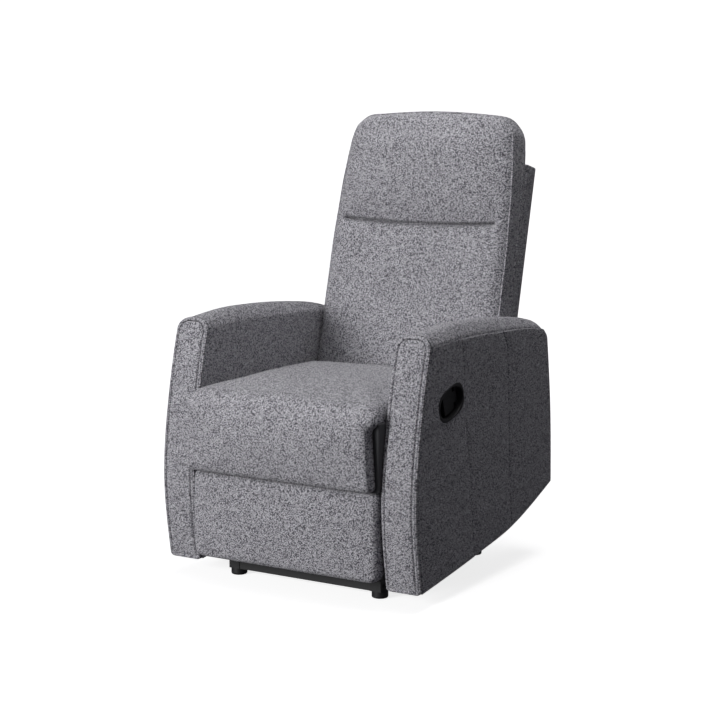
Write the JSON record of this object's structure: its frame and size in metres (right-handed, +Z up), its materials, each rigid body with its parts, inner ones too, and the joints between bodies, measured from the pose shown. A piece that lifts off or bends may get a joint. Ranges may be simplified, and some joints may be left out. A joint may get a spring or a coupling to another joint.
{
  "type": "recliner armchair",
  "caption": "Upholstered recliner armchair: high two-part back, padded arms, fold-out footrest on a parallelogram linkage, release handle recessed in one arm.",
  "frame": {"origin": "centre of the bounding box's footprint, on the floor", "axes": "+Z up, +Y towards the back of the chair, +X towards the sitter's left, the side with the release handle"},
  "size_m": [0.68, 0.813, 1.0701],
  "materials": {
    "grey_fabric": "heathered plain weave",
    "black_steel": "satin black powder coat",
    "zinc_steel": "zinc plated",
    "black_plastic": "fine grained",
    "timber": "raw plywood and pine",
    "webbing": "elastic webbing"
  },
  "bodies": {
    "base": {"base_rail_left": "black_steel", "base_rail_right": "black_steel", "cross_tubes": "black_steel", "base_rail_plugs": "black_plastic", "floor_glides": "black_plastic", "base_side_plate_left": "black_steel", "base_side_plate_right": "black_steel", "link_anchor_pins": "zinc_steel"},
    "seat_frame": {"seat_plate_left": "black_steel", "seat_plate_right": "black_steel", "seat_side_rail_left": "timber", "seat_side_rail_right": "timber", "seat_front_rail": "timber", "seat_rear_rail": "timber", "seat_frame_bolts": "zinc_steel", "seat_frame_pins": "zinc_steel", "seat_springs": "zinc_steel", "seat_cushion": "grey_fabric", "arm_inner_panel_left": "grey_fabric", "arm_inner_panel_right": "grey_fabric", "arm_outer_panel_left": "grey_fabric", "arm_outer_panel_right": "grey_fabric", "arm_top_pad_left": "grey_fabric", "arm_top_pad_right": "grey_fabric", "arm_front_facing_left": "grey_fabric", "arm_front_facing_right": "grey_fabric", "arm_frames": "timber", "arm_rear_walls": "timber", "handle_cup": "black_plastic", "release_cable": "black_plastic"},
    "backrest": {"back_outer_panel": "grey_fabric", "back_stile_left": "timber", "back_stile_right": "timber", "back_rails": "timber", "back_side_boards": "grey_fabric", "back_webbing": "webbing", "back_bracket_left": "black_steel", "back_bracket_right": "black_steel", "back_bracket_bolts": "zinc_steel", "back_cushion_lower": "grey_fabric", "back_cushion_head": "grey_fabric"},
    "recline_links": {"recline_link_left": "black_steel", "recline_link_right": "black_steel"},
    "main_links": {"main_link_left": "black_steel", "main_link_right": "black_steel", "torque_tube": "black_steel"},
    "parallel_links": {"parallel_link_left": "black_steel", "parallel_link_right": "black_steel"},
    "couplers": {"coupler_left": "black_steel", "coupler_right": "black_steel", "coupler_pins": "zinc_steel"},
    "control_rods": {"control_rod_left": "black_steel", "control_rod_right": "black_steel", "control_rod_pins": "zinc_steel"},
    "footrest": {"footrest_pad": "grey_fabric", "footrest_board": "timber", "footrest_bracket_left": "black_steel", "footrest_bracket_right": "black_steel", "footrest_bolts": "zinc_steel"},
    "handle_lever": {"handle_lever": "black_plastic"}
  },
  "joints": [
    {"name": "seat_tilt", "type": "hinge", "parent": "base", "child": "seat_frame", "pos_m": [0, -0.02851, 0.19], "axis": [-1, 0, 0], "range_deg": [0, 8]},
    {"name": "back_recline", "type": "hinge", "parent": "seat_frame", "child": "backrest", "pos_m": [0, 0.20649, 0.295], "axis": [-1, 0, 0], "range_deg": [0, 32]},
    {"name": "recline_link_turn", "type": "hinge", "parent": "base", "child": "recline_links", "pos_m": [0, 0.06549, 0.194], "axis": [-1, 0, 0], "range_deg": [0, 17.6]},
    {"name": "footrest_swing", "type": "hinge", "parent": "seat_frame", "child": "main_links", "pos_m": [0, -0.22551, 0.266], "axis": [-1, 0, 0], "range_deg": [0, 90]},
    {"name": "parallel_link_turn", "type": "hinge", "parent": "seat_frame", "child": "parallel_links", "pos_m": [0, -0.24971, 0.2801], "axis": [-1, 0, 0], "range_deg": [0, 90]},
    {"name": "coupler_turn", "type": "hinge", "parent": "main_links", "child": "couplers", "pos_m": [0, -0.17452, 0.07302], "axis": [-1, 0, 0], "range_deg": [-90, 0]},
    {"name": "control_rod_turn", "type": "hinge", "parent": "main_links", "child": "control_rods", "pos_m": [0, -0.18219, 0.10203], "axis": [-1, 0, 0], "range_deg": [-90, 0]},
    {"name": "footrest_turn", "type": "hinge", "parent": "couplers", "child": "footrest", "pos_m": [0, -0.31052, 0.20502], "axis": [-1, 0, 0], "range_deg": [0, 90]},
    {"name": "handle_pull", "type": "hinge", "parent": "seat_frame", "child": "handle_lever", "pos_m": [0.326, -0.16297, 0.46069], "axis": [0, -0.2672, 0.9636], "range_deg": [0, 35], "stiffness_Nm_per_rad": 0.4, "springref_deg": -11.46}
  ],
  "couplings": [
    {"joint": "back_recline", "follows": "seat_tilt", "ratio": 4},
    {"joint": "recline_link_turn", "follows": "seat_tilt", "ratio": 2.195},
    {"joint": "parallel_link_turn", "follows": "footrest_swing", "ratio": 1},
    {"joint": "coupler_turn", "follows": "footrest_swing", "ratio": -1},
    {"joint": "control_rod_turn", "follows": "footrest_swing", "ratio": -1},
    {"joint": "footrest_turn", "follows": "footrest_swing", "ratio": 1}
  ]
}
